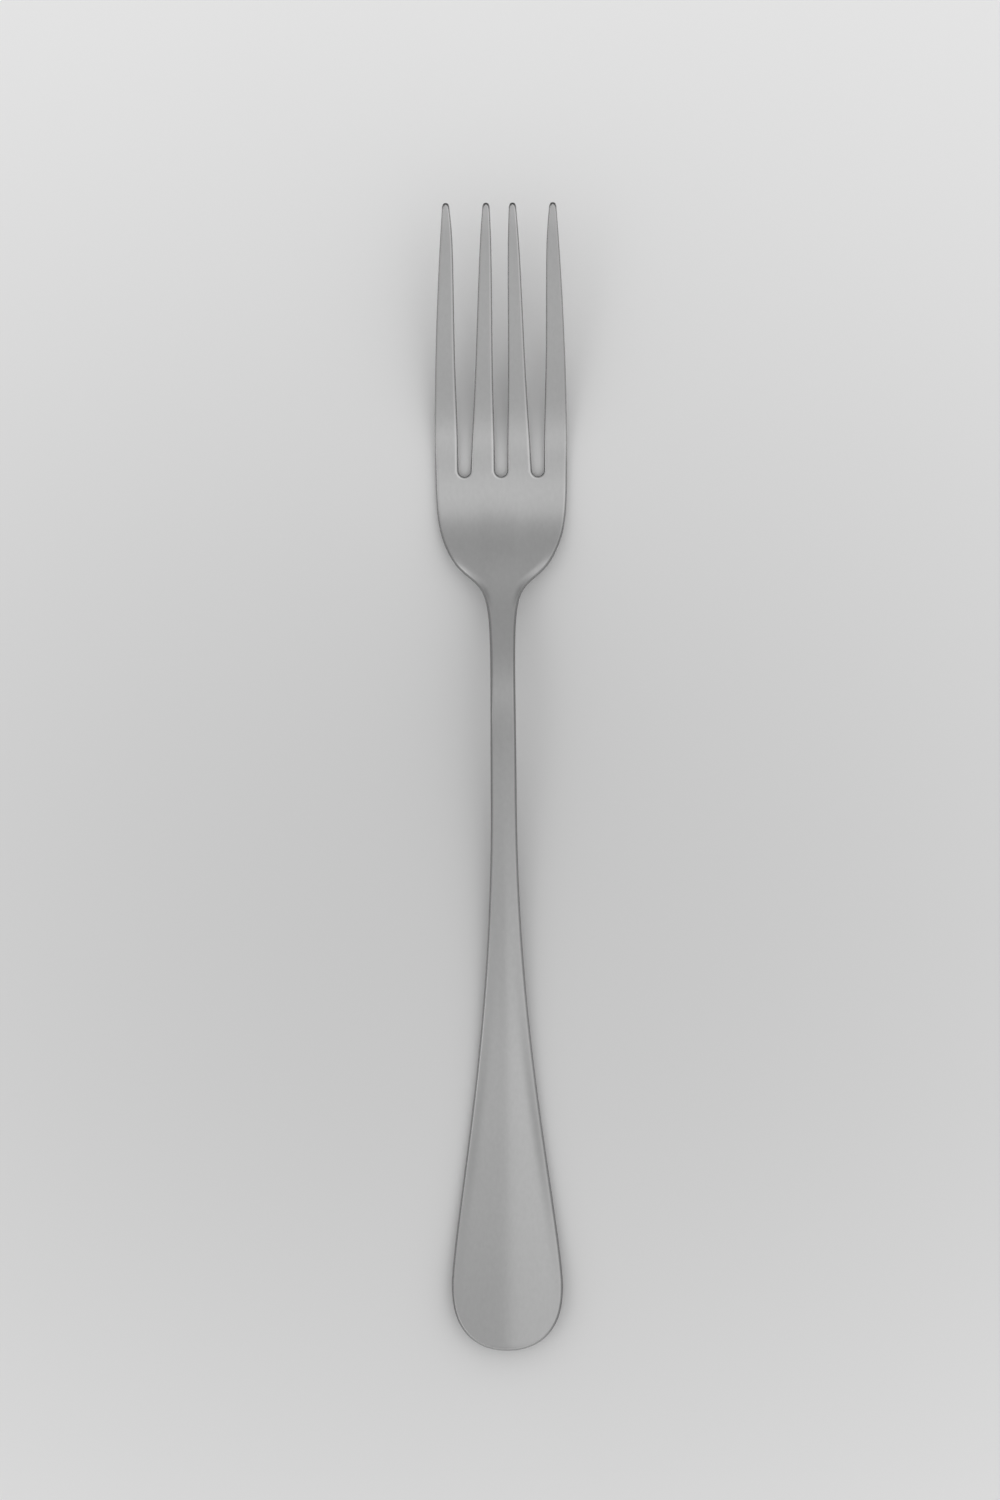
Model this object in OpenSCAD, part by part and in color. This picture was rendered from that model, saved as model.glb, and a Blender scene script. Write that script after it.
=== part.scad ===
// Dinner fork with four tines, pressed and forged from one piece of stainless steel.
// It lies face up on a table: +Y from the handle to the tips, +Z up, origin below its middle.

/* [Overall] */
// Length of the fork, seen from above, from the end of the handle to the tips
fork_length = 205; // [195:1:220]

/* [Handle] */
// Width of the handle at its widest place
handle_w = 20; // [17:0.2:23]
// Distance of the widest place from the end of the handle
handle_round = 12; // [9:0.5:15]
// Thickness of the handle along its ridge
handle_t = 2.3; // [2:0.1:3]
// Thickness at the very end of the handle
handle_end_t = 2; // [1.8:0.1:2.2]
// Fall of the handle's top from its ridge to its edges, at the widest place
handle_crown = 0.8; // [0.4:0.05:0.9]
// Radius of the rounded edges of the handle
handle_edge = 0.5; // [0.3:0.05:0.6]
// Distance from the end of the handle to the place where the handle rests on the table
handle_rest_at = 38; // [30:1:46]
// Height of the underside of the handle's end above the table
handle_end_h = 3.2; // [1:0.2:4]

/* [Shank] */
// Width of the shank where the handle has tapered down to it
shank_w = 4.65; // [4.2:0.05:5.6]
// Thickness of the shank where the ridge of the handle ends
shank_t = 3.4; // [3:0.1:4]
// Width of the neck, the narrowest place of the fork
neck_w = 4.4; // [4:0.05:5.4]
// Thickness of the neck
neck_t = 3.8; // [3.4:0.1:4.4]
// Distance from the tips to the crest, the highest place of the shank
crest_from_tips = 88; // [84:1:93]
// Height of the underside of the crest above the table
crest_h = 7.6; // [6:0.2:12]
// Radius of the rounded edges of the neck
neck_edge = 0.7; // [0.4:0.05:0.9]

/* [Head] */
// Length of the head, from the neck to the tips
head_length = 78.4; // [75:0.2:83]
// Width of the head at its widest place
head_w = 23.8; // [21.6:0.2:26]
// Distance of the widest place of the head from the tips
head_wide_from_tips = 42; // [38:1:50]
// Distance from the tips to the place where the shoulders sweep outwards
shoulder_from_tips = 63.8; // [61:0.2:66]
// Length over which the shoulders open out to the full width
shoulder_sweep = 3.2; // [2.4:0.1:4]
// Length of the tighter curve where the neck meets the shoulders
shoulder_corner = 1.05; // [0.8:0.05:1.5]
// Distance of that tighter curve behind the shoulders
shoulder_corner_back = 2.4; // [1.5:0.1:3.5]
// Radius of the wider rounding where the side of the neck runs out into the shoulders
shoulder_edge = 1.3; // [0.8:0.05:1.4]
// Thickness of the palm
palm_t = 1.5; // [1.4:0.1:2.2]
// Height by which the thick neck stands up from the palm between the shoulders
neck_step = 0.3; // [0.1:0.05:0.8]
// Half the width over which the neck runs out in the palm
neck_runout_w = 3.4; // [2.8:0.1:4.5]
// Half the length over which the neck runs out in the palm
neck_runout_l = 7; // [5:0.5:8]
// Radius of the rounded edges of the palm
palm_edge = 0.4; // [0.25:0.05:0.5]
// Height by which the sides of the head are bent up above its middle
dish_h = 0.1; // [0:0.05:0.8]
// Distance of the lowest place of the head from the tips
belly_from_tips = 49.5; // [48:0.5:52]

/* [Tines] */
// Length of the tines, from the ends of the slots to the tips
tine_length = 47.8; // [45:0.2:51]
// Width of the slots at their round ends
slot_w = 2.2; // [1.7:0.02:2.4]
// Width of each of the two middle tines at its root
middle_tine_w = 4.42; // [4.2:0.02:5]
// Width of the tips
tip_w = 1.3; // [1.1:0.05:1.6]
// Thickness of the tips
tip_t = 1.2; // [1:0.05:1.5]
// Width over the two outer tips
tips_spread = 20.2; // [18.5:0.1:22.5]
// Gap between the two middle tips
tips_gap = 3.4; // [2.8:0.1:4]
// Height of the underside of the tips above the table
tip_h = 15; // [11:0.2:18]
// Radius of the rounded edges of the tines
tine_edge = 0.32; // [0.2:0.02:0.36]
// Radius of the rounding over the ends of the tips
tip_edge = 0.44; // [0.34:0.02:0.48]

/* [Hidden] */

// Places along the fork, measured from the end of the handle
neck_at = fork_length - head_length;
shoulder_at = fork_length - shoulder_from_tips;
corner_at = shoulder_at - shoulder_corner_back;
head_wide_at = fork_length - head_wide_from_tips;
crest_at = fork_length - crest_from_tips;
belly_at = fork_length - belly_from_tips;
slot_r = slot_w / 2;
tip_r = tip_w / 2;
root_at = fork_length - tine_length + slot_r;
tip_at = fork_length - tip_r;
pitch = middle_tine_w + slot_w;

// The handle tapers to the shank in a skewed wave, which ends at this share of the way to the neck
taper_end_share = 0.79;
taper_skew_share = 0.65;
taper_end_at = taper_end_share * neck_at;
// The end of the handle is a little blunter than an ellipse, with one power along it and one across
round_power_along = 2.6;
round_power_across = 2.2;
// The shoulders widen by this share in their long sweep, and by the rest in the tighter corner
sweep_share = 0.68;
// The head narrows from its widest place to the tips with this power of the distance
spread_power = 1.8;
// Widths of the tines above the tips' width, as shares of what they lose from root to tip
outer_taper_shares = [
    [0, 1], [0.16, 0.965], [0.37, 0.815], [0.58, 0.645], [0.79, 0.435], [0.9, 0.26], [1, 0]
];
middle_taper_shares = [
    [0, 1], [0.16, 0.82], [0.37, 0.6], [0.58, 0.45], [0.79, 0.3], [0.9, 0.175], [1, 0]
];

// Heights of the underside, as shares of the height at the handle's end, at the crest and at the tips:
// from the end to the rest, from the rest up to the crest, down to the belly, and up the tines.
// The first number is the share of the way.
end_fall_shares = [[0, 1], [0.4, 0.36], [1, 0]];
arch_shares = [[0.24, 0.045], [0.53, 0.28], [0.785, 0.7], [1, 1]];
drop_shares = [
    [0.23, 0.82], [0.44, 0.53], [0.62, 0.27], [0.75, 0.108], [0.84, 0.032], [0.92, 0.006], [1, 0]
];
rise_shares = [[0.13, 0.03], [0.27, 0.155], [0.434, 0.385], [0.657, 0.67], [1, 1]];
// Place up to which the handle keeps its thickness, as a share of the way to the neck
handle_even_share = 0.45;
// Thickness from the neck to the slots and from there to the tips, as shares of what it loses
palm_thin_shares = [[0.42, 0.6], [0.71, 0.15], [1, 0]];
tine_thin_shares = [[0.5, 0.65], [1, 0]];
// The ridge of the handle fades between these shares of the way to the neck
ridge_fade_shares = [0.56, 0.78];
// Rounding of the ridge, as a share of half the width
ridge_round_share = 0.14;
// Share of the crown that the underside of the handle has too
under_crown_share = 0.25;
// Rounded edges take no more than this share of half a tine's width or of an edge's thickness
edge_limit_share = 0.85;

// Counts of faces along and across the parts of the fork
tine_count = 4;
handle_cols = 14;
tine_cols = 4;
slot_cols = 4;
palm_cols = tine_count * tine_cols + (tine_count - 1) * slot_cols;
round_rows = 5;
handle_rows = 34;
palm_rows = 22;
tine_rows = 17;
group_cols = tine_cols + slot_cols;
cols_ratio = palm_cols / handle_cols;

// A smooth curve through the points of a list, kept with the second derivatives at its points
function forward(p, i, done) = i == len(p) - 1 ? done :
    let (before = p[i][0] - p[i - 1][0])
    let (after = p[i + 1][0] - p[i][0])
    let (turn = (p[i + 1][1] - p[i][1]) / after - (p[i][1] - p[i - 1][1]) / before)
    let (pivot = 2 * (before + after) - before * done[i - 1][0])
    forward(p, i + 1, concat(done, [[after / pivot, (6 * turn - before * done[i - 1][1]) / pivot]]));
function backward(rows, i, done) = i == 0 ? concat([0], done) :
    backward(rows, i - 1, concat([rows[i][1] - rows[i][0] * done[0]], done));
function smooth(p) = [p, backward(forward(p, 1, [[0, 0]]), len(p) - 2, [0])];
function piece_of(p, s, i) = i >= len(p) - 2 || s < p[i + 1][0] ? i : piece_of(p, s, i + 1);
function at(curve, s) =
    let (p = curve[0])
    let (m = curve[1])
    let (i = piece_of(p, s, 0))
    let (span = p[i + 1][0] - p[i][0])
    let (b = (s - p[i][0]) / span)
    let (a = 1 - b)
    a * p[i][1] + b * p[i + 1][1] + ((a ^ 3 - a) * m[i] + (b ^ 3 - b) * m[i + 1]) * span ^ 2 / 6;

// Steps from 0 to 1: between two places, and around one place over a softness. A bump is 1 at its middle.
function step_share(s, from, to) = min(1, max(0, (s - from) / (to - from)));
function ramp(s, from, to) = step_share(s, from, to) ^ 2 * (3 - 2 * step_share(s, from, to));
function swell(s, middle, softness) = 1 / (1 + exp((middle - s) / softness));
function bump(s, middle, reach) = exp(-((s - middle) / reach) ^ 2);

// Half the width of the handle, the shank and the head
function shank_half(s) = (shank_w + (neck_w - shank_w) * ramp(s, taper_end_at, neck_at)) / 2;
function handle_taper(s) = (1 + cos(180 * step_share(s, handle_round, taper_end_at) ^ taper_skew_share)) / 2;
function head_half(s) =
    (head_w - (head_w - tips_spread) * max(0, (s - head_wide_at) / head_wide_from_tips) ^ spread_power) / 2;
function shoulders(s) =
    sweep_share * swell(s, shoulder_at, shoulder_sweep)
    + (1 - sweep_share) * swell(s, corner_at, shoulder_corner);
function half_width(s) =
    let (shank = shank_half(s))
    shank + (handle_w / 2 - shank) * handle_taper(s) + (head_half(s) - shank) * shoulders(s);

// The round end of the handle, by its angle from the middle of the end
function round_point(angle) = [
    sign(angle) * handle_w / 2 * abs(sin(angle)) ^ (2 / round_power_across),
    handle_round * (1 - cos(angle) ^ (2 / round_power_along))
];

// Edges of the tines, counted from the left. Here t runs from 0 at the root to 1 at the tip.
outer_taper = smooth(outer_taper_shares);
middle_taper = smooth(middle_taper_shares);
outer_tine_w = half_width(root_at) - pitch - slot_r;
function is_outer(k) = k == 0 || k == tine_count - 1;
function side_of(k) = k < tine_count / 2 ? -1 : 1;
function along_tine(t) = root_at + t * (tip_at - root_at);
function tine_half(k, t) = is_outer(k)
    ? (tip_w + (outer_tine_w - tip_w) * at(outer_taper, t)) / 2
    : (tip_w + (middle_tine_w - tip_w) * at(middle_taper, t)) / 2;
function tine_middle(k, t) = side_of(k) * (is_outer(k)
    ? half_width(along_tine(t)) - tine_half(k, t)
    : (pitch + t * (tips_gap + tip_w - pitch)) / 2);
function tine_edge_point(k, side, t) = [tine_middle(k, t) + side * tine_half(k, t), along_tine(t)];
function tip_point(k, angle) = [tine_middle(k, 1) + tip_r * sin(angle), tip_at + tip_r * cos(angle)];
function slot_point(k, angle) = [(k - 1) * pitch + slot_r * sin(angle), root_at - slot_r * cos(angle)];

// Rows of faces: ends of each row on the right edge of the handle and the palm, and t along a tine
palm_step = (root_at - neck_at) / (palm_rows + 1);
function edge_at(s) = [half_width(s), s];
function handle_row(i) = i < round_rows
    ? round_point(45 + 45 * i / round_rows)
    : edge_at(handle_round + (i - round_rows) / (handle_rows - round_rows) * (neck_at - handle_round));
function palm_row(i) = edge_at(neck_at + (i + 1) * palm_step);
function tine_t(i) = i / (tine_rows - 1);

// Numbers of the points of one face of the fork. The underside has the same points again.
handle_points = (handle_rows + 1) * (handle_cols + 1);
palm_points = (palm_rows + 1) * (palm_cols + 1);
tine_points = tine_rows * (tine_cols + 1);
face_points = handle_points + palm_points + tine_count * tine_points;
function handle_id(i, j) = i * (handle_cols + 1) + j;
function palm_id(i, j) = handle_points + i * (palm_cols + 1) + j;
function tine_id(k, i, j) = i == 0
    ? palm_id(palm_rows, k * group_cols + j)
    : handle_points + palm_points + k * tine_points + (i - 1) * (tine_cols + 1) + j;

// The outline once round, anticlockwise from the left of the handle's end.
// Each entry is a point of the outline and the number of the face's point beside it.
function flipped(p) = [-p[0], p[1]];
function tine_loop(k) = concat(
    [for (i = [1 : tine_rows - 1]) [tine_edge_point(k, 1, tine_t(i)), tine_id(k, i, tine_cols)]],
    [for (j = [tine_cols : -1 : 0]) [tip_point(k, 90 * j / tine_cols - 45), tine_id(k, tine_rows, j)]],
    [for (i = [tine_rows - 1 : -1 : 1]) [tine_edge_point(k, -1, tine_t(i)), tine_id(k, i, 0)]]
);
function slot_loop(k) = [for (j = [slot_cols : -1 : 0])
    [slot_point(k, 180 * j / slot_cols - 90), palm_id(palm_rows, k * group_cols + tine_cols + j)]];
outline = concat(
    [for (j = [0 : handle_cols]) [round_point(90 * j / handle_cols - 45), handle_id(0, j)]],
    [for (i = [1 : handle_rows]) [handle_row(i), handle_id(i, handle_cols)]],
    [for (i = [0 : palm_rows]) [palm_row(i), palm_id(i, palm_cols)]],
    tine_loop(3), slot_loop(2), tine_loop(2), slot_loop(1), tine_loop(1), slot_loop(0), tine_loop(0),
    [for (i = [palm_rows : -1 : 0]) [flipped(palm_row(i)), palm_id(i, 0)]],
    [for (i = [handle_rows : -1 : 1]) [flipped(handle_row(i)), handle_id(i, 0)]]
);
rim_count = len(outline);
rim = [for (entry = outline) entry[0]];
rim_ids = [for (entry = outline) entry[1]];
outward = [for (m = [0 : rim_count - 1])
    let (along = rim[(m + 1) % rim_count] - rim[(m + rim_count - 1) % rim_count])
    [along[1], -along[0]] / norm(along)];

// Side view: height of the underside along the middle, slope, and thickness square to the slope
function stretch(shares, from, length, h) = [for (p = shares) [from + p[0] * length, p[1] * h]];
underside = smooth(concat(
    stretch(end_fall_shares, 0, handle_rest_at, handle_end_h),
    stretch(arch_shares, handle_rest_at, crest_at - handle_rest_at, crest_h),
    stretch(drop_shares, crest_at, belly_at - crest_at, crest_h),
    stretch(rise_shares, belly_at, belly_from_tips, tip_h)
));
thickness = smooth(concat(
    [[0, handle_end_t], [handle_round, handle_t], [handle_even_share * neck_at, handle_t]],
    [[taper_end_at, shank_t], [neck_at, neck_t]],
    [for (p = palm_thin_shares) [neck_at + p[0] * (root_at - neck_at), palm_t + p[1] * (neck_t - palm_t)]],
    [for (p = tine_thin_shares) [root_at + p[0] * (fork_length - root_at), tip_t + p[1] * (palm_t - tip_t)]]
));
function slope(s) = (at(underside, s + slot_r) - at(underside, s - slot_r)) / slot_w;
function upright_t(s) = at(thickness, s) * sqrt(1 + slope(s) ^ 2);

// Cross-section: the ridge of the handle, the neck that stands up from the palm, and the dished head
function crown(s) =
    let (fade = ramp(s, ridge_fade_shares[0] * neck_at, ridge_fade_shares[1] * neck_at))
    handle_crown * 2 * half_width(s) / handle_w * (1 - fade);
function ridge(u) = sqrt(u ^ 2 + ridge_round_share ^ 2) - ridge_round_share;
function neck_fall(x, s) =
    neck_step * bump(s, shoulder_at, neck_runout_l) * (1 - exp(-(x / neck_runout_w) ^ 4));
function dish(x, s) = dish_h * (2 * x / head_w) ^ 2 * ramp(s, corner_at, root_at);
function under_z(x, s) =
    at(underside, s) + dish(x, s) + under_crown_share * crown(s) * (x / half_width(s)) ^ 2;
function over_z(x, s) =
    at(underside, s) + dish(x, s) + upright_t(s)
    - crown(s) * ridge(x / half_width(s)) / ridge(1) - neck_fall(x, s);

// Radii of the rounded edges, below and above, at a point of the outline
function plain_edge(s) =
    handle_edge
    + (neck_edge - handle_edge) * ramp(s, handle_even_share * neck_at, taper_end_at)
    + (palm_edge - neck_edge) * ramp(s, shoulder_at, shoulder_at + neck_runout_l)
    + (tine_edge - palm_edge) * ramp(s, root_at - slot_w, root_at + pitch)
    + (tip_edge - tine_edge) * ramp(s, tip_at - tip_w, fork_length);
function edge_t(p) = edge_limit_share * (over_z(p[0], p[1]) - under_z(p[0], p[1]));
function under_edge(p) = min(min(plain_edge(p[1]), palm_edge), min(edge_t(p) / 2, edge_limit_share * tip_r));
function over_edge(p) =
    let (wide = plain_edge(p[1]) + (shoulder_edge - neck_edge) * bump(p[1], corner_at, shoulder_sweep))
    p[1] > root_at - slot_w
        ? min(wide, min(edge_t(p) / 2, edge_limit_share * tip_r))
        : min(wide, edge_t(p) - under_edge(p));
under_edges = [for (p = rim) under_edge(p)];
over_edges = [for (p = rim) over_edge(p)];

// Points of one face in plan, inside the rounded edges that have these radii
function inset(radii, share) = [for (m = [0 : rim_count - 1]) rim[m] - outward[m] * radii[m] * share];
function beside(edge, id) = edge[search(id, rim_ids)[0]];
function handle_plan(edge, i, j) =
    let (side = beside(edge, handle_id(i, handle_cols)))
    let (end = beside(edge, handle_id(0, j)))
    let (corner = beside(edge, handle_id(0, handle_cols)))
    let (across = 2 * j / handle_cols - 1)
    let (bend = max(0, 1 - i / round_rows) ^ 2)
    [side[0] * (across + (end[0] / corner[0] - across) * bend), side[1] + (end[1] - corner[1]) * bend];
function tine_plan(edge, k, i, j) = i == tine_rows
    ? beside(edge, tine_id(k, i, j))
    : let (left = beside(edge, tine_id(k, i, 0)))
      let (right = beside(edge, tine_id(k, i, tine_cols)))
      left + (right - left) * j / tine_cols;
function root_plan(edge, j) =
    let (k = min(tine_count - 1, floor(j / group_cols)))
    let (col = j - k * group_cols)
    col <= tine_cols ? tine_plan(edge, k, 0, col) : beside(edge, palm_id(palm_rows, j));
function palm_plan(edge, i, j) =
    let (side = beside(edge, palm_id(i, palm_cols)))
    let (corner = beside(edge, palm_id(palm_rows, palm_cols)))
    let (root = root_plan(edge, j))
    let (bend = exp((i - palm_rows) * palm_step / slot_w))
    [side[0] * root[0] / corner[0], side[1] + (root[1] - corner[1]) * bend];
function face_plan(edge) = concat(
    [for (i = [0 : handle_rows]) for (j = [0 : handle_cols]) handle_plan(edge, i, j)],
    [for (i = [0 : palm_rows]) for (j = [0 : palm_cols]) palm_plan(edge, i, j)],
    [for (k = [0 : tine_count - 1])
        for (i = [1 : tine_rows])
            for (j = [0 : tine_cols]) tine_plan(edge, k, i, j)]
);

// Points of the faces and of the loops between them, which round off the edges
over_inset = inset(over_edges, 1);
under_inset = inset(under_edges, 1);
over_face = [for (p = face_plan(over_inset)) [p[0], p[1], over_z(p[0], p[1])]];
under_face = [for (p = face_plan(under_inset)) [p[0], p[1], under_z(p[0], p[1])]];
function over_loop(angle) = [for (m = [0 : rim_count - 1])
    let (r = over_edges[m])
    let (p = rim[m] - outward[m] * r * (1 - sin(angle)))
    [p[0], p[1], over_face[rim_ids[m]][2] - r * (1 - cos(angle))]];
function under_loop(angle) = [for (m = [0 : rim_count - 1])
    let (r = under_edges[m])
    let (p = rim[m] - outward[m] * r * (1 - sin(angle)))
    [p[0], p[1], under_face[rim_ids[m]][2] + r * (1 - cos(angle))]];
raw_points = concat(over_face, under_face, over_loop(45), over_loop(90), under_loop(90), under_loop(45));
table_z = min([for (p = raw_points) p[2]]);
fork_points = [for (p = raw_points) p - [0, fork_length / 2, table_z]];

// Triangles, listed clockwise as seen from outside
function cell(a, b, c, d, mirror) = mirror ? [[a, b, c], [a, c, d]] : [[a, b, d], [b, c, d]];
function patch(ids) = [
    for (i = [0 : len(ids) - 2])
        for (j = [0 : len(ids[0]) - 2])
            let (mirror = 2 * j >= len(ids[0]) - 1)
            for (f = cell(ids[i][j], ids[i + 1][j], ids[i + 1][j + 1], ids[i][j + 1], mirror)) f
];
handle_patch = patch([for (i = [0 : handle_rows]) [for (j = [0 : handle_cols]) handle_id(i, j)]]);
palm_patch = patch([for (i = [0 : palm_rows]) [for (j = [0 : palm_cols]) palm_id(i, j)]]);
tine_patches = [for (k = [0 : tine_count - 1])
    for (f = patch([for (i = [0 : tine_rows]) [for (j = [0 : tine_cols]) tine_id(k, i, j)]])) f];
neck_patch = [for (j = [0 : handle_cols - 1])
    let (a = handle_id(handle_rows, j))
    let (b = handle_id(handle_rows, j + 1))
    let (c = palm_id(0, j * cols_ratio))
    for (f = [[a, c, c + 1], [a, c + 1, b], [b, c + 1, c + 2]]) f];
over_triangles = concat(handle_patch, neck_patch, palm_patch, tine_patches);
under_triangles = [for (f = over_triangles) [f[2] + face_points, f[1] + face_points, f[0] + face_points]];
loops = concat(
    [rim_ids],
    [for (n = [0 : 3]) [for (m = [0 : rim_count - 1]) 2 * face_points + n * rim_count + m]],
    [[for (id = rim_ids) id + face_points]]
);
edge_triangles = [for (n = [0 : len(loops) - 2])
    for (m = [0 : rim_count - 1])
        let (next = (m + 1) % rim_count)
        for (f = cell(loops[n][m], loops[n][next], loops[n + 1][next], loops[n + 1][m], false)) f];

module fork() {
    color([0.63, 0.63, 0.63])
        polyhedron(points = fork_points, faces = concat(over_triangles, under_triangles, edge_triangles));
}

fork();
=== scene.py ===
"""A dinner fork of satin stainless steel, lying face up on a pale table under soft light."""

import math

import bpy
import numpy as np
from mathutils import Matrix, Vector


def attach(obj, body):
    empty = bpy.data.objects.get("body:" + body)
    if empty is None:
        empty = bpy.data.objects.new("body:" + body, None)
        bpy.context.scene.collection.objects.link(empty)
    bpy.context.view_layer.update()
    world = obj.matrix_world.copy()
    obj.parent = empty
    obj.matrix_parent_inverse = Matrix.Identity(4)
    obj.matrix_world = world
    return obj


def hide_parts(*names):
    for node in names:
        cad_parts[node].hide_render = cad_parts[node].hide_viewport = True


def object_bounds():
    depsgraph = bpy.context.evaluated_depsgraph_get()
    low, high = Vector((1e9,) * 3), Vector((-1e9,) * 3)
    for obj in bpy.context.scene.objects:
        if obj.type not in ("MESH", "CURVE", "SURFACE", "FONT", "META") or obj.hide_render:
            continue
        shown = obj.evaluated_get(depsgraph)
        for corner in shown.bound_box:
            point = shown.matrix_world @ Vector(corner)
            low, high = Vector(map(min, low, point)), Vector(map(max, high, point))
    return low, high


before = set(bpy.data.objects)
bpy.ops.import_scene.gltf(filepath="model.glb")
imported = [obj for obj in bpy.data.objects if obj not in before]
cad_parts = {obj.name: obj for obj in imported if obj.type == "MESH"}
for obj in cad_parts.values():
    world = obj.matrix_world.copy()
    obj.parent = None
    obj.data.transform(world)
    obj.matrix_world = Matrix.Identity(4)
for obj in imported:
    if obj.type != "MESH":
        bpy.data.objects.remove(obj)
cad_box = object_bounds()

# Shapes are worked out in millimetres from the end of the handle, and placed in metres. In the names,
# W is a width, T a thickness, H a height, L a length, R a radius, and AT a place along the fork.
MM = 0.001
QUARTER_TURN = math.pi / 2

# Overall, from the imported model's box
CAD_LOW, CAD_HIGH = (np.array(corner) / MM for corner in cad_box)
FORK_LENGTH = CAD_HIGH[1] - CAD_LOW[1]

# Handle
HANDLE_W = 20
HANDLE_ROUND = 12
HANDLE_T = 2.3
HANDLE_END_T = 2.0
HANDLE_CROWN = 0.8
HANDLE_END_H = 3.2
HANDLE_REST_AT = 38

# Shank and neck
SHANK_W = 4.65
SHANK_T = 3.4
NECK_W = 4.4
NECK_T = 3.8
CREST_FROM_TIPS = 88
CREST_H = 7.6

# Head
HEAD_LENGTH = 78.4
HEAD_W = 23.8
HEAD_WIDE_FROM_TIPS = 42
SHOULDER_FROM_TIPS = 63.8
SHOULDER_SWEEP = 3.2
SHOULDER_CORNER = 1.05
SHOULDER_CORNER_BACK = 2.4
SHOULDER_BEVEL = 0.55
SHOULDER_BEVEL_W = 1.6
SHOULDER_BEVEL_REACH = 2.4
PALM_T = 1.5
NECK_STEP = 0.3
NECK_RUNOUT_W = 3.4
NECK_RUNOUT_L = 7
DISH_H = 0.1
BELLY_FROM_TIPS = 49.5

# Tines
TINE_LENGTH = 47.8
SLOT_W = 2.2
MIDDLE_TINE_W = 4.42
TIP_W = 1.3
TIP_T = 1.2
TIPS_SPREAD = 20.2
TIPS_GAP = 3.4
TIP_H = 15

# Radii of the rounded edges
HANDLE_EDGE = 0.5
NECK_EDGE = 0.5
SHOULDER_EDGE = 0.45
PALM_EDGE = 0.4
TINE_EDGE = 0.32
TIP_EDGE = 0.44

# Places along the fork
NECK_AT = FORK_LENGTH - HEAD_LENGTH
SHOULDER_AT = FORK_LENGTH - SHOULDER_FROM_TIPS
CORNER_AT = SHOULDER_AT - SHOULDER_CORNER_BACK
HEAD_WIDE_AT = FORK_LENGTH - HEAD_WIDE_FROM_TIPS
CREST_AT = FORK_LENGTH - CREST_FROM_TIPS
BELLY_AT = FORK_LENGTH - BELLY_FROM_TIPS
SLOT_R = SLOT_W / 2
TIP_R = TIP_W / 2
ROOT_AT = FORK_LENGTH - TINE_LENGTH + SLOT_R
TIP_AT = FORK_LENGTH - TIP_R
PITCH = MIDDLE_TINE_W + SLOT_W
TAPER_END_AT = 0.79 * NECK_AT
HANDLE_EVEN_AT = 0.45 * NECK_AT
RIDGE_FADE_FROM = 0.56 * NECK_AT
RIDGE_FADE_TO = 0.78 * NECK_AT

# Shares and powers that shape the curves between those sizes
TAPER_SKEW_SHARE = 0.65
ROUND_POWER_ALONG = 2.6
ROUND_POWER_ACROSS = 2.2
SWEEP_SHARE = 0.68
SPREAD_POWER = 1.8
RIDGE_ROUND_SHARE = 0.2
SHANK_RIDGE_SHARE = 0.3
UNDER_CROWN_SHARE = 0.25
EDGE_LIMIT_SHARE = 0.85
BEVEL_POWER = 1.4

# How the tines narrow: the share of the way to the tip, and of the root's extra width that is left
OUTER_TAPER_SHARES = (
    (0, 1), (0.16, 0.965), (0.37, 0.815), (0.58, 0.645), (0.79, 0.435), (0.9, 0.26), (1, 0),
)
MIDDLE_TAPER_SHARES = (
    (0, 1), (0.16, 0.82), (0.37, 0.6), (0.58, 0.45), (0.79, 0.3), (0.9, 0.175), (1, 0),
)

# Height of the underside, as shares of each stretch and of its height: the fall from the handle's end,
# the arch up to the crest, the drop to the belly and the rise to the tips
END_FALL_SHARES = ((0, 1), (0.4, 0.36), (1, 0))
ARCH_SHARES = ((0.24, 0.045), (0.53, 0.28), (0.785, 0.7), (1, 1))
DROP_SHARES = (
    (0.23, 0.82), (0.44, 0.53), (0.62, 0.27), (0.75, 0.108), (0.84, 0.032), (0.92, 0.006), (1, 0),
)
RISE_SHARES = ((0.13, 0.03), (0.27, 0.155), (0.434, 0.385), (0.657, 0.67), (1, 1))

# How the head thins, from the neck to the roots of the tines and from there to the tips
PALM_THIN_SHARES = ((0.42, 0.6), (0.71, 0.15), (1, 0))
TINE_THIN_SHARES = ((0.5, 0.65), (1, 0))

# Zones of painted light and shade along the fork: the middle, the reach and how much lighter the steel is
PAINTED_LIGHT_AND_SHADE_ZONES = (
    (0, 28, -0.13),
    (0.42 * NECK_AT, 13, 0.055),
    (CREST_AT + 5, 32, -0.17),
    (SHOULDER_AT - 2, 4.5, 0.11),
    (SHOULDER_AT + 4.5, 3.5, -0.05),
    (BELLY_AT - 1, 6, 0.18),
    (ROOT_AT + 5.4, 3.5, 0.25),
    (TIP_AT - 1, 2.5, 0.12),
)

# A band of painted shade lies just inside both edges of the handle, more on the right,
# strongest at SIDE_BAND_AT
SIDE_BAND_LEFT = 0.16
SIDE_BAND_RIGHT = 0.28
SIDE_BAND_IN = 1.1
SIDE_BAND_W = 0.9
SIDE_BAND_AT = 42
SIDE_BAND_REACH = 20

# A narrow strip of painted shade lies along the neck's edges where they run out into the shoulders
NECK_SHADE_DARK = 0.24
NECK_SHADE_IN = 0.6
NECK_SHADE_W = 0.42
NECK_SHADE_AT = CORNER_AT - 2.6
NECK_SHADE_REACH = 2

# The rounded edges have painted light at the handle's end and along the tines, and painted shade
# at the tips
END_PAINTED_LIGHT = 0.4
END_LIGHT_REACH = 4
TINE_PAINTED_LIGHT = 0.15
TIP_PAINTED_SHADE = 0.8

# The bevel of the left shoulder gets this many times as much painted highlight as a slot's brightest rim
SHOULDER_HIGHLIGHT = 2

# Steel: the least and the most of its tone and its roughness, over slow patches
STEEL_TONE = (0.372, 0.392)
STEEL_ROUGHNESS = (0.29, 0.33)
PATCH_SCALE = 55.0
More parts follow.
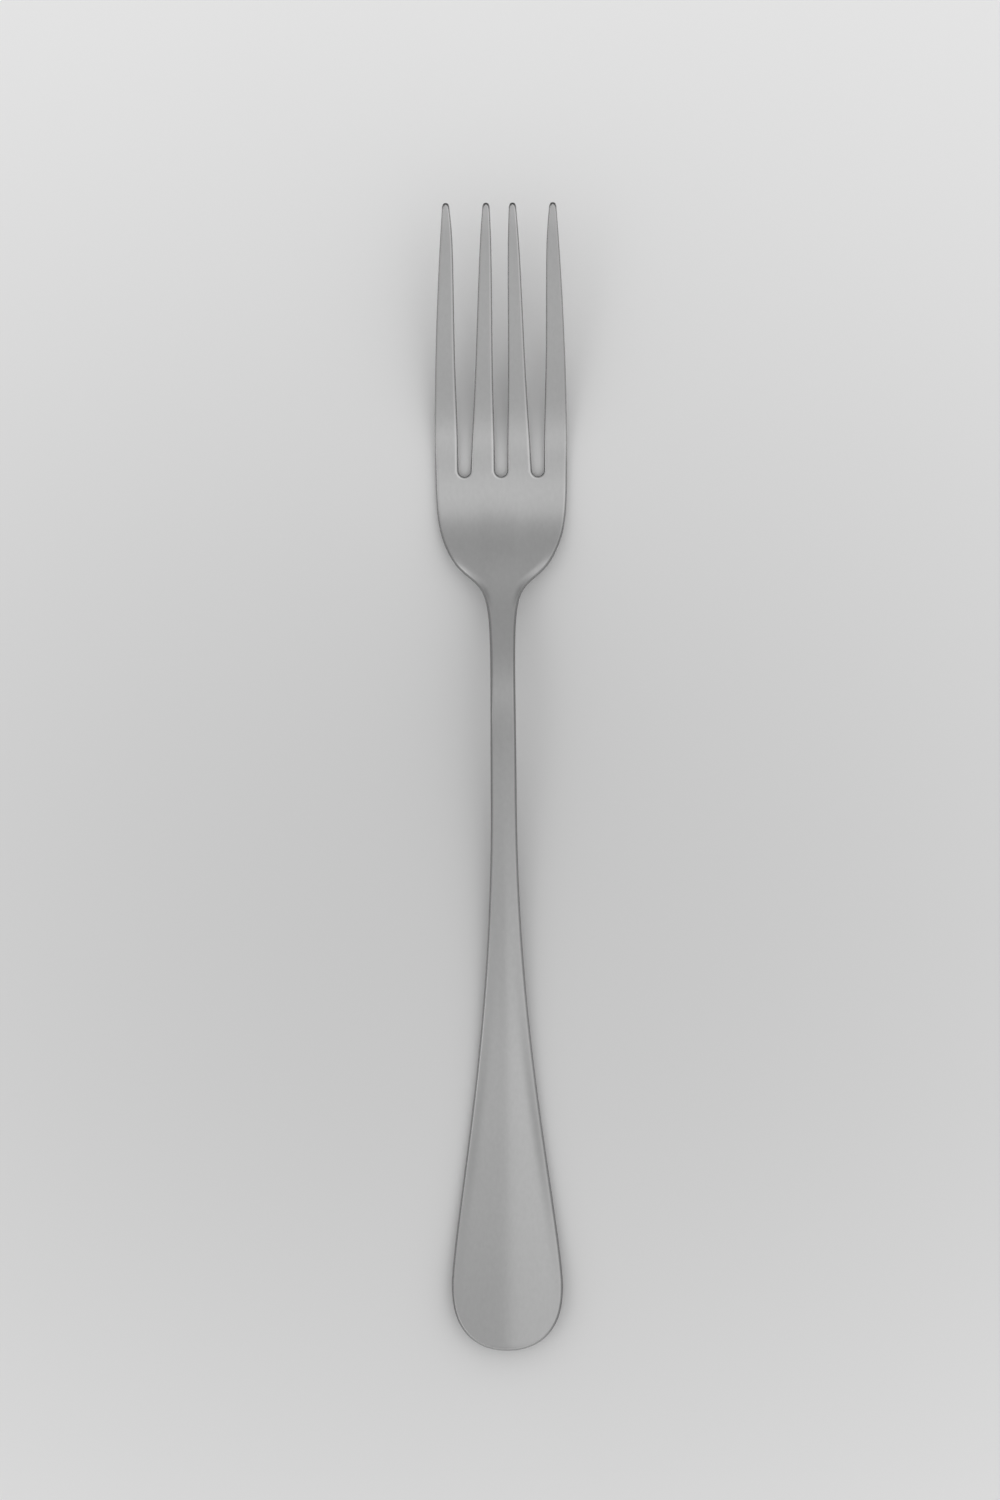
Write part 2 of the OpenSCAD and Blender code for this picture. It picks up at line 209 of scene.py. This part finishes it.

# What the rounded edges add to them, as painted shade in the tone, and what the painted highlights on the
# slot rims and the left shoulder add to the tone
EDGE_PAINTED_SHADE = -0.09
EDGE_ROUGHNESS = -0.07
RIM_HIGHLIGHT_TONE = 0.09

# Satin grain and mottle, drawn out along the fork: how fine they are in each direction, and how strong
GRAIN_SCALE = (9000, 700, 9000)
GRAIN_STRENGTH = 0.12
GRAIN_DEPTH = 0.00002
MOTTLE_SCALE = (1700, 800, 1700)
MOTTLE_TONE = (0.94, 1.06)

# Table: its size in metres, its tone under the fork, darkened by painted shade, and far from it, and the
# scale and the shift of its coordinates that set the size and the place of the painted shade
TABLE_SIZE = 3.0
TABLE_TONE_IN_PAINTED_SHADE = 0.635
TABLE_TONE_FAR = 0.9
TABLE_SCALE = (3.4, 4.4, 1.0)
TABLE_SHIFT = (0.03, 0.12, 0.0)
TABLE_ROUGHNESS = 0.9
TABLE_SHINE = 0.1

# Light from all round, and what is added to it or taken off round some directions: the direction, how
# narrow the part is, and its strength
AMBIENT = 0.86
LOBES = (
    ((0.02, -0.1, 1.0), 4.0, 1.04),
    ((-0.1, -0.21, 1.0), 20.0, -1.08),
    ((-0.25, 0.36, 1.0), 40.0, -0.63),
    ((0.32, 0.21, 1.0), 90.0, 0.36),
    ((0.1, 0.53, 1.0), 90.0, -0.33),
    ((-0.1, -0.21, 1.0), 90.0, 0.26),
    ((0.0, 1.0, 0.1), 16.0, -0.75),
    ((-0.65, -0.08, 1.0), 90.0, 1.6),
    ((0.3, 0.1, 1.0), 60.0, 0.2),
)

# Camera: straight above the fork, turned a little about its own axis. FRAME_LONG is the length of table
# that the long side of the frame takes in, and all but the turn and the sensor are in metres.
CAMERA_HEIGHT = 0.9
CAMERA_X = -0.0006
CAMERA_Y = 0.0054
CAMERA_ROLL = math.radians(-0.44)
FRAME_LONG = 0.2708
SENSOR_MM = 36.0
NEAREST_SEEN = 0.01

# Counts of tines, and of rows and columns of faces
TINES = 4
TINE_COLS = 10
SLOT_COLS = 12
GROUP_COLS = TINE_COLS + SLOT_COLS
COLS = TINES * TINE_COLS + (TINES - 1) * SLOT_COLS
ROUND_ROWS = 14
BODY_ROWS = 226
TINE_ROWS = 84
EDGE_STEPS = 5

# Counts of points on one face of the fork
BODY_POINTS = (BODY_ROWS + 1) * (COLS + 1)
TINE_POINTS = TINE_ROWS * (TINE_COLS + 1)
FACE_POINTS = BODY_POINTS + TINES * TINE_POINTS


def smooth_curve(points):
    """A smooth curve through the points, with no jump in its bend, as a function of the distance."""
    s, v = np.array(points, float).T
    span = np.diff(s)
    turn = np.diff(np.diff(v) / span)
    count = len(s)
    system = np.eye(count)
    right = np.zeros(count)
    for i in range(1, count - 1):
        system[i, i - 1] = span[i - 1]
        system[i, i] = 2 * (span[i - 1] + span[i])
        system[i, i + 1] = span[i]
        right[i] = 6 * turn[i - 1]
    bend = np.linalg.solve(system, right)

    def at(where):
        where = np.asarray(where, float)
        i = np.clip(np.searchsorted(s, where, side="right") - 1, 0, count - 2)
        b = (where - s[i]) / span[i]
        a = 1 - b
        bent = (a ** 3 - a) * bend[i] + (b ** 3 - b) * bend[i + 1]
        return a * v[i] + b * v[i + 1] + bent * span[i] ** 2 / 6

    return at


def step_share(s, start, end):
    return np.clip((s - start) / (end - start), 0, 1)


def ramp(s, start, end):
    share = step_share(s, start, end)
    return share * share * (3 - 2 * share)


def swell(s, middle, softness):
    return 1 / (1 + np.exp((middle - s) / softness))


def bump(s, middle, reach):
    return np.exp(-((s - middle) / reach) ** 2)


def slope(curve, s):
    """How steeply a curve climbs at a distance, measured over the width of a slot."""
    return (curve(s + SLOT_R) - curve(s - SLOT_R)) / SLOT_W


def head_half(s):
    away = np.maximum(0, (s - HEAD_WIDE_AT) / HEAD_WIDE_FROM_TIPS)
    return (HEAD_W - (HEAD_W - TIPS_SPREAD) * away ** SPREAD_POWER) / 2


def half_width(s):
    """Half the width of the handle, the shank and the head at a distance from the handle's end."""
    s = np.asarray(s, float)
    shank = (SHANK_W + (NECK_W - SHANK_W) * ramp(s, TAPER_END_AT, NECK_AT)) / 2
    tapered = step_share(s, HANDLE_ROUND, TAPER_END_AT) ** TAPER_SKEW_SHARE
    taper = (1 + np.cos(math.pi * tapered)) / 2
    shoulders = SWEEP_SHARE * swell(s, SHOULDER_AT, SHOULDER_SWEEP)
    shoulders = shoulders + (1 - SWEEP_SHARE) * swell(s, CORNER_AT, SHOULDER_CORNER)
    return shank + (HANDLE_W / 2 - shank) * taper + (head_half(s) - shank) * shoulders


def round_point(angle):
    """A point of the round end of the handle, by its angle from the middle of the end."""
    across = math.copysign(abs(math.sin(angle)) ** (2 / ROUND_POWER_ACROSS), angle)
    along = max(0.0, math.cos(angle)) ** (2 / ROUND_POWER_ALONG)
    return (HANDLE_W / 2 * across, HANDLE_ROUND * (1 - along))


outer_taper = smooth_curve(OUTER_TAPER_SHARES)
middle_taper = smooth_curve(MIDDLE_TAPER_SHARES)
OUTER_TINE_W = float(half_width(ROOT_AT)) - PITCH - SLOT_R


def tine_half(k, t):
    """Half the width of tine k, counted from the left, at a share t of the way from root to tip."""
    if k in (0, TINES - 1):
        return (TIP_W + (OUTER_TINE_W - TIP_W) * float(outer_taper(t))) / 2
    return (TIP_W + (MIDDLE_TINE_W - TIP_W) * float(middle_taper(t))) / 2


def tine_middle(k, t):
    side = -1 if k < TINES / 2 else 1
    if k in (0, TINES - 1):
        return side * (float(half_width(ROOT_AT + t * (TIP_AT - ROOT_AT))) - tine_half(k, t))
    return side * (PITCH + t * (TIPS_GAP + TIP_W - PITCH)) / 2


def tine_edge_point(k, side, t):
    return (tine_middle(k, t) + side * tine_half(k, t), ROOT_AT + t * (TIP_AT - ROOT_AT))


def tip_point(k, angle):
    return (tine_middle(k, 1) + TIP_R * math.sin(angle), TIP_AT + TIP_R * math.cos(angle))


def slot_point(k, angle):
    return ((k - 1) * PITCH + SLOT_R * math.sin(angle), ROOT_AT - SLOT_R * math.cos(angle))


underside = smooth_curve(
    [(share * HANDLE_REST_AT, h * HANDLE_END_H) for share, h in END_FALL_SHARES]
    + [(HANDLE_REST_AT + share * (CREST_AT - HANDLE_REST_AT), h * CREST_H) for share, h in ARCH_SHARES]
    + [(CREST_AT + share * (BELLY_AT - CREST_AT), h * CREST_H) for share, h in DROP_SHARES]
    + [(BELLY_AT + share * BELLY_FROM_TIPS, h * TIP_H) for share, h in RISE_SHARES]
)
thickness = smooth_curve(
    [(0, HANDLE_END_T), (HANDLE_ROUND, HANDLE_T), (HANDLE_EVEN_AT, HANDLE_T)]
    + [(TAPER_END_AT, SHANK_T), (NECK_AT, NECK_T)]
    + [
        (NECK_AT + share * (ROOT_AT - NECK_AT), PALM_T + t * (NECK_T - PALM_T))
        for share, t in PALM_THIN_SHARES
    ]
    + [
        (ROOT_AT + share * (FORK_LENGTH - ROOT_AT), TIP_T + t * (PALM_T - TIP_T))
        for share, t in TINE_THIN_SHARES
    ]
)


def crown(s):
    """How far the top falls from its ridge to its edges."""
    fade = (1 - SHANK_RIDGE_SHARE) * ramp(s, RIDGE_FADE_FROM, RIDGE_FADE_TO)
    fade = fade + SHANK_RIDGE_SHARE * ramp(s, RIDGE_FADE_TO, NECK_AT)
    return HANDLE_CROWN * 2 * half_width(s) / HANDLE_W * (1 - fade)


def ridge(u):
    """The share of the crown's fall at a share u of the way from the middle line to the edge."""
    q = RIDGE_ROUND_SHARE
    return (np.sqrt(u ** 2 + q ** 2) - q) / (math.sqrt(1 + q ** 2) - q)


def dish(x, s):
    return DISH_H * (2 * x / HEAD_W) ** 2 * ramp(s, CORNER_AT, ROOT_AT)


def from_outline(x, s):
    """How far a point of the handle, the shank or the palm lies inside the outline."""
    return (half_width(s) - np.abs(x)) / np.sqrt(1 + slope(half_width, s) ** 2)


def bevel_share(x, s):
    """How deep a point lies in the bevel along the shoulders, from 0 to 1 at their edges."""
    share = np.maximum(0, 1 - from_outline(x, s) / SHOULDER_BEVEL_W) ** BEVEL_POWER
    return share * bump(s, CORNER_AT + SLOT_R, SHOULDER_BEVEL_REACH)


def under_z(x, s):
    return underside(s) + dish(x, s) + UNDER_CROWN_SHARE * crown(s) * (x / half_width(s)) ** 2


def over_z(x, s):
    upright_t = thickness(s) * np.sqrt(1 + slope(underside, s) ** 2)
    fall = crown(s) * ridge(x / half_width(s))
    off_middle = 1 - np.exp(-(x / NECK_RUNOUT_W) ** 4)
    neck_fall = NECK_STEP * bump(s, SHOULDER_AT, NECK_RUNOUT_L) * off_middle
    bevel = SHOULDER_BEVEL * bevel_share(x, s)
    return underside(s) + dish(x, s) + upright_t - fall - neck_fall - bevel


def edge_radii(x, s):
    """Radii of the rounded edges below and above, at points of the outline."""
    plain = (
        HANDLE_EDGE
        + (NECK_EDGE - HANDLE_EDGE) * ramp(s, HANDLE_EVEN_AT, TAPER_END_AT)
        + (PALM_EDGE - NECK_EDGE) * ramp(s, SHOULDER_AT, SHOULDER_AT + NECK_RUNOUT_L)
        + (TINE_EDGE - PALM_EDGE) * ramp(s, ROOT_AT - SLOT_W, ROOT_AT + PITCH)
        + (TIP_EDGE - TINE_EDGE) * ramp(s, TIP_AT - TIP_W, FORK_LENGTH)
    )
    room = EDGE_LIMIT_SHARE * (over_z(x, s) - under_z(x, s))
    tine_room = np.minimum(room / 2, EDGE_LIMIT_SHARE * TIP_R)
    under = np.minimum(np.minimum(plain, PALM_EDGE), tine_room)
    wide = plain + (SHOULDER_EDGE - NECK_EDGE) * bump(s, CORNER_AT, SHOULDER_SWEEP)
    over = np.minimum(wide, np.where(s > ROOT_AT - SLOT_W, tine_room, room - under))
    return under, over


def body_row_ends():
    """The right end of each row of faces across the handle, the shank and the palm."""
    eighth = QUARTER_TURN / 2
    ends = [round_point(eighth * (1 + i / ROUND_ROWS)) for i in range(ROUND_ROWS)]
    rows = BODY_ROWS - ROUND_ROWS
    for i in range(rows + 1):
        s = HANDLE_ROUND + (ROOT_AT - HANDLE_ROUND) * i / rows
        ends.append((float(half_width(s)), s))
    return ends


def body_id(i, j):
    """The number of a point of the top in row i and column j of the handle, the shank and the palm."""
    return i * (COLS + 1) + j


def tine_id(k, i, j):
    """The number of a point of the top in row i and column j of tine k."""
    if i == 0:
        return body_id(BODY_ROWS, k * GROUP_COLS + j)
    return BODY_POINTS + k * TINE_POINTS + (i - 1) * (TINE_COLS + 1) + j


def tine_outline(k):
    """The outline of one tine, from its right root over the tip to its left root."""
    up = range(1, TINE_ROWS)
    last = TINE_ROWS - 1
    entries = [(tine_edge_point(k, 1, i / last), tine_id(k, i, TINE_COLS)) for i in up]
    for j in reversed(range(TINE_COLS + 1)):
        angle = QUARTER_TURN * j / TINE_COLS - QUARTER_TURN / 2
        entries.append((tip_point(k, angle), tine_id(k, TINE_ROWS, j)))
    return entries + [(tine_edge_point(k, -1, i / last), tine_id(k, i, 0)) for i in reversed(up)]


def slot_outline(k):
    """The round root of the slot between tines k and k + 1, from right to left."""
    entries = []
    for j in reversed(range(SLOT_COLS + 1)):
        angle = 2 * QUARTER_TURN * j / SLOT_COLS - QUARTER_TURN
        entries.append((slot_point(k, angle), body_id(BODY_ROWS, k * GROUP_COLS + TINE_COLS + j)))
    return entries


def fork_outline():
    """The outline once round, anticlockwise from the left of the handle's end.

    Gives its points, and the number of the point of the top that lies inside each.
    """
    ends = body_row_ends()
    entries = []
    for j in range(COLS + 1):
        entries.append((round_point(QUARTER_TURN * j / COLS - QUARTER_TURN / 2), body_id(0, j)))
    entries += [(ends[i], body_id(i, COLS)) for i in range(1, BODY_ROWS + 1)]
    for k in reversed(range(TINES)):
        entries += tine_outline(k)
        if k > 0:
            entries += slot_outline(k - 1)
    entries += [((-ends[i][0], ends[i][1]), body_id(i, 0)) for i in reversed(range(1, BODY_ROWS + 1))]
    rim = np.array([point for point, _ in entries])
    ids = np.array([number for _, number in entries])
    return rim, ids


def root_row(plan):
    """The last row of the palm, with the tines' part of it straight between their corners."""
    row = np.zeros((COLS + 1, 2))
    for j in range(COLS + 1):
        k = min(TINES - 1, j // GROUP_COLS)
        column = j - k * GROUP_COLS
        row[j] = plan[body_id(BODY_ROWS, j)]
        if column <= TINE_COLS:
            left = plan[tine_id(k, 0, 0)] if k else plan[body_id(BODY_ROWS, COLS)] * (-1, 1)
            right = plan[tine_id(k, 0, TINE_COLS)]
            row[j] = left + (right - left) * column / TINE_COLS
    return row


def face_plan(inner, ids):
    """Points of one face in plan. Those on its border are given, and the others lie evenly between."""
    plan = np.zeros((FACE_POINTS, 2))
    plan[ids] = inner
    root = root_row(plan)
    corner = root[COLS]
    end = plan[:COLS + 1].copy()
    even = np.linspace(-1, 1, COLS + 1)
    for i in range(BODY_ROWS + 1):
        side = plan[body_id(i, COLS)].copy()
        to_root = float(ramp(side[1], NECK_AT - HEAD_WIDE_FROM_TIPS, SHOULDER_AT))
        across = even + (root[:, 0] / corner[0] - even) * to_root
        round_bend = max(0, 1 - i / ROUND_ROWS) ** 2
        root_bend = math.exp((side[1] - corner[1]) / SLOT_W)
        across = across + (end[:, 0] / end[COLS, 0] - across) * round_bend
        along = side[1] + (end[:, 1] - end[COLS, 1]) * round_bend
        row = slice(body_id(i, 0), body_id(i, COLS) + 1)
        plan[row, 0] = side[0] * across
        plan[row, 1] = along + (root[:, 1] - corner[1]) * root_bend
    share = np.linspace(0, 1, TINE_COLS + 1)[:, None]
    for k in range(TINES):
        for i in range(1, TINE_ROWS):
            left = plan[tine_id(k, i, 0)].copy()
            right = plan[tine_id(k, i, TINE_COLS)].copy()
            plan[tine_id(k, i, 0):tine_id(k, i, TINE_COLS) + 1] = left + (right - left) * share
    return plan


def edge_row(rim, outward, height, radius, angle, up):
    """A row of points along a rounded edge, by its angle from the face that the edge belongs to.

    up is -1 where the edge falls from the top, and 1 where it rises from the underside.
    """
    plan = rim - outward * (radius * (1 - math.sin(angle)))[:, None]
    return np.column_stack([plan, height + up * radius * (1 - math.cos(angle))])


def quads(rows):
    """Quads between rows of point numbers, anticlockwise as seen from above."""
    return [
        (a[j], a[j + 1], b[j + 1], b[j])
        for a, b in zip(rows[:-1], rows[1:])
        for j in range(len(a) - 1)
    ]


def skin_faces(ids):
    """Faces of the top, then of the underside, then of the rounded edges that join them."""
    over = quads([[body_id(i, j) for j in range(COLS + 1)] for i in range(BODY_ROWS + 1)])
    for k in range(TINES):
        over += quads([[tine_id(k, i, j) for j in range(TINE_COLS + 1)] for i in range(TINE_ROWS + 1)])
    under = [tuple(FACE_POINTS + number for number in reversed(face)) for face in over]
    count = len(ids)
    loops = [list(ids)]
    for n in range(2 * EDGE_STEPS):
        start = 2 * FACE_POINTS + n * count
        loops.append(list(range(start, start + count)))
    loops.append([FACE_POINTS + number for number in ids])
    closed = [loop + loop[:1] for loop in loops]
    return over + under + quads(list(reversed(closed)))


# Painted shade just inside the handle's edges
def painted_side_shade(x, s):
    depth = np.where(x < 0, SIDE_BAND_LEFT, SIDE_BAND_RIGHT)
    across = bump(half_width(s) - np.abs(x), SIDE_BAND_IN, SIDE_BAND_W)
    return depth * across * bump(s, SIDE_BAND_AT, SIDE_BAND_REACH)


# Painted shade along the neck's edges where they meet the shoulders
def painted_neck_shade(x, s):
    return NECK_SHADE_DARK * bump(from_outline(x, s), NECK_SHADE_IN, NECK_SHADE_W) * bump(s, NECK_SHADE_AT, NECK_SHADE_REACH)


def edge_and_painted_light_values(points, over_plan, rim, ids, outward):
    """Per point: on a rounded edge or not, tone with painted light and shade, and painted highlight."""
    s = points[:, 1]
    x_over, s_over = over_plan.T
    rounded = np.arange(len(points)) >= 2 * FACE_POINTS

    # Painted light and shade in zones along the fork
    painted_light_and_shade = 1 + sum(lighter * bump(s, middle, reach) for middle, reach, lighter in PAINTED_LIGHT_AND_SHADE_ZONES)
    # Painted shade along the handle's sides
    painted_light_and_shade[:FACE_POINTS] -= painted_side_shade(x_over, s_over)
    # Painted shade along the neck's edges
    painted_light_and_shade[:FACE_POINTS] -= painted_neck_shade(x_over, s_over)
    # Painted shade on the rounded tips, painted light on the rims at the handle's end and along the tines
    painted_light_and_shade[rounded] -= TIP_PAINTED_SHADE * ramp(s[rounded], TIP_AT - TIP_R, TIP_AT + TIP_R)
    painted_light_and_shade[rounded] += END_PAINTED_LIGHT * bump(s[rounded], 0, END_LIGHT_REACH)
    painted_light_and_shade[rounded] += TINE_PAINTED_LIGHT * ramp(s[rounded], ROOT_AT, ROOT_AT + PITCH)

    # Painted highlight on the right-facing rims of the slots and on the left shoulder's bevel
    painted_rim_highlight = np.zeros(len(points))
    in_slot = (rim[:, 1] > ROOT_AT - SLOT_W) & (np.abs(rim[:, 0]) < half_width(rim[:, 1]) - TIP_R)
    painted_rim_highlight[ids] = in_slot * (1 + outward[:, 0]) / 2
    painted_rim_highlight[:FACE_POINTS] += SHOULDER_HIGHLIGHT * bevel_share(x_over, s_over) * (x_over < 0)
    return {"edge": rounded.astype(float), "painted_light_and_shade": painted_light_and_shade, "painted_rim_highlight": painted_rim_highlight}


def build_fork_skin():
    """The whole fork as one closed skin: points in metres, faces, and edges and painted light per point.
    """
    rim, ids = fork_outline()
    along = np.roll(rim, -1, axis=0) - np.roll(rim, 1, axis=0)
    outward = np.column_stack([along[:, 1], -along[:, 0]]) / np.linalg.norm(along, axis=1)[:, None]
    under_r, over_r = edge_radii(rim[:, 0], rim[:, 1])
    over_plan = face_plan(rim - outward * over_r[:, None], ids)
    under_plan = face_plan(rim - outward * under_r[:, None], ids)
    over_height = over_z(over_plan[:, 0], over_plan[:, 1])
    under_height = under_z(under_plan[:, 0], under_plan[:, 1])

    layers = [np.column_stack([over_plan, over_height]), np.column_stack([under_plan, under_height])]
    angles = [QUARTER_TURN * n / EDGE_STEPS for n in range(1, EDGE_STEPS + 1)]
    layers += [edge_row(rim, outward, over_height[ids], over_r, angle, -1) for angle in angles]
    layers += [edge_row(rim, outward, under_height[ids], under_r, angle, 1) for angle in reversed(angles)]
    points = np.vstack(layers)
    edge_and_painted_light = edge_and_painted_light_values(points, over_plan, rim, ids, outward)

    points[:, 1] -= FORK_LENGTH / 2
    points[:, 2] -= points[:, 2].min()
    points = np.clip(points, CAD_LOW, CAD_HIGH)
    return points * MM, skin_faces(ids), edge_and_painted_light


def node_tools(tree):
    """Empties a node tree and gives two helpers: one adds a node, and one works out a number."""
    tree.nodes.clear()

    def add(kind, **settings):
        node = tree.nodes.new(kind)
        for name, value in settings.items():
            if name in node.inputs:
                node.inputs[name].default_value = value
            else:
                setattr(node, name, value)
        return node

    def work_out(operation, *values):
        node = add("ShaderNodeMath", operation=operation)
        for socket, value in zip(node.inputs, values):
            if isinstance(value, bpy.types.NodeSocket):
                tree.links.new(value, socket)
            else:
                socket.default_value = value
        return node.outputs["Value"]

    return add, work_out


def satin_steel():
    """Stainless steel, fine satin grain along the fork, edges polished by use, painted light and shade.
    """
    material = bpy.data.materials.new("satin_steel")
    material.use_nodes = True
    add, work_out = node_tools(material.node_tree)
    link = material.node_tree.links.new
    place = add("ShaderNodeTexCoord")
    shader = add("ShaderNodeBsdfPrincipled", Metallic=1.0)
    output = add("ShaderNodeOutputMaterial")
    link(shader.outputs["BSDF"], output.inputs["Surface"])

    def drawn_out_noise(scale):
        stretch = add("ShaderNodeMapping", Scale=scale)
        link(place.outputs["Object"], stretch.inputs["Vector"])
        noise = add("ShaderNodeTexNoise", Scale=1.0, Detail=3.0, Roughness=0.6)
        link(stretch.outputs["Vector"], noise.inputs["Vector"])
        return noise.outputs["Fac"]

    def between(limits, share):
        """A number between two limits, by the share of the way from one to the other."""
        spread = add("ShaderNodeMapRange")
        spread.inputs["To Min"].default_value, spread.inputs["To Max"].default_value = limits
        link(share, spread.inputs["Value"])
        return spread.outputs["Result"]

    def edge_and_painted_light(name):
        return add("ShaderNodeAttribute", attribute_name=name).outputs["Fac"]

    # Grain
    grain = add("ShaderNodeBump", Strength=GRAIN_STRENGTH, Distance=GRAIN_DEPTH)
    link(drawn_out_noise(GRAIN_SCALE), grain.inputs["Height"])
    link(grain.outputs["Normal"], shader.inputs["Normal"])

    # Gloss
    patches = add("ShaderNodeTexNoise", Scale=PATCH_SCALE, Detail=4.0, Roughness=0.55)
    link(place.outputs["Object"], patches.inputs["Vector"])
    edge = edge_and_painted_light("edge")
    gloss = between(STEEL_ROUGHNESS, patches.outputs["Fac"])
    link(work_out("MULTIPLY_ADD", edge, EDGE_ROUGHNESS, gloss), shader.inputs["Roughness"])

    # Tone, with painted light and shade along the fork and on its edges, and painted highlights
    steel = work_out("MULTIPLY", edge_and_painted_light("painted_light_and_shade"), between(STEEL_TONE, patches.outputs["Fac"]))
    mottled = work_out("MULTIPLY", steel, between(MOTTLE_TONE, drawn_out_noise(MOTTLE_SCALE)))
    # Painted shade on the rounded edges, then the painted highlights
    edged = work_out("MULTIPLY_ADD", edge, EDGE_PAINTED_SHADE, mottled)
    link(work_out("MULTIPLY_ADD", edge_and_painted_light("painted_rim_highlight"), RIM_HIGHLIGHT_TONE, edged), shader.inputs["Base Color"])
    return material


def make_fork():
    points, faces, edge_and_painted_light = build_fork_skin()
    mesh = bpy.data.meshes.new("fork_steel")
    mesh.from_pydata(points.tolist(), [], faces)
    mesh.update()
    mesh.shade_smooth()
    for name, values in edge_and_painted_light.items():
        attribute = mesh.attributes.new(name, "FLOAT", "POINT")
        attribute.data.foreach_set("value", values.astype(np.float32))
    piece = bpy.data.objects.new("fork_steel", mesh)
    bpy.context.scene.collection.objects.link(piece)
    mesh.materials.append(satin_steel())
    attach(piece, "root")
    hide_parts("fork")


def pale_table():
    """A matt pale table, darker under the fork than towards its edges by painted shade."""
    material = bpy.data.materials.new("pale_table")
    material.use_nodes = True
    add, _ = node_tools(material.node_tree)
    link = material.node_tree.links.new
    place = add("ShaderNodeTexCoord")
    shader = add("ShaderNodeBsdfPrincipled", Roughness=TABLE_ROUGHNESS)
    shader.inputs["Specular IOR Level"].default_value = TABLE_SHINE
    output = add("ShaderNodeOutputMaterial")
    link(shader.outputs["BSDF"], output.inputs["Surface"])
    squeeze = add("ShaderNodeMapping", Location=TABLE_SHIFT, Scale=TABLE_SCALE)
    link(place.outputs["Object"], squeeze.inputs["Vector"])
    distance = add("ShaderNodeVectorMath", operation="LENGTH")
    link(squeeze.outputs["Vector"], distance.inputs[0])
    # Painted shade: the table darker round the middle, under the fork
    painted_light_and_shade = add("ShaderNodeMapRange", interpolation_type="SMOOTHSTEP")
    painted_light_and_shade.inputs["To Min"].default_value = TABLE_TONE_IN_PAINTED_SHADE
    painted_light_and_shade.inputs["To Max"].default_value = TABLE_TONE_FAR
    link(distance.outputs["Value"], painted_light_and_shade.inputs["Value"])
    link(painted_light_and_shade.outputs["Result"], shader.inputs["Base Color"])
    return material


def make_table():
    half = TABLE_SIZE / 2
    mesh = bpy.data.meshes.new("table_top")
    corners = [(-half, -half, 0), (half, -half, 0), (half, half, 0), (-half, half, 0)]
    mesh.from_pydata(corners, [], [(0, 1, 2, 3)])
    mesh.materials.append(pale_table())
    table = bpy.data.objects.new("table_top", mesh)
    bpy.context.scene.collection.objects.link(table)


def make_world():
    """Soft light from all round, stronger from overhead."""
    world = bpy.data.worlds.new("soft_studio")
    bpy.context.scene.world = world
    world.use_nodes = True
    add, work_out = node_tools(world.node_tree)
    link = world.node_tree.links.new
    place = add("ShaderNodeTexCoord")
    total = AMBIENT
    for lean, power, amount in LOBES:
        length = math.sqrt(sum(part * part for part in lean))
        aim = add("ShaderNodeVectorMath", operation="DOT_PRODUCT")
        aim.inputs[1].default_value = tuple(part / length for part in lean)
        link(place.outputs["Generated"], aim.inputs[0])
        facing = work_out("MAXIMUM", aim.outputs["Value"], 0.0)
        total = work_out("MULTIPLY_ADD", work_out("POWER", facing, power), amount, total)
    glow = add("ShaderNodeBackground")
    link(total, glow.inputs["Strength"])
    output = add("ShaderNodeOutputWorld")
    link(glow.outputs["Background"], output.inputs["Surface"])


def make_camera():
    camera = bpy.data.cameras.new("overhead")
    camera.sensor_width = SENSOR_MM
    camera.lens = SENSOR_MM * CAMERA_HEIGHT / FRAME_LONG
    camera.clip_start = NEAREST_SEEN
    viewer = bpy.data.objects.new("overhead", camera)
    viewer.location = (CAMERA_X, CAMERA_Y, CAMERA_HEIGHT)
    viewer.rotation_euler = (0, 0, CAMERA_ROLL)
    bpy.context.scene.collection.objects.link(viewer)
    bpy.context.scene.camera = viewer


make_camera()
make_world()
make_table()
make_fork()
bpy.context.scene.view_settings.view_transform = "Standard"
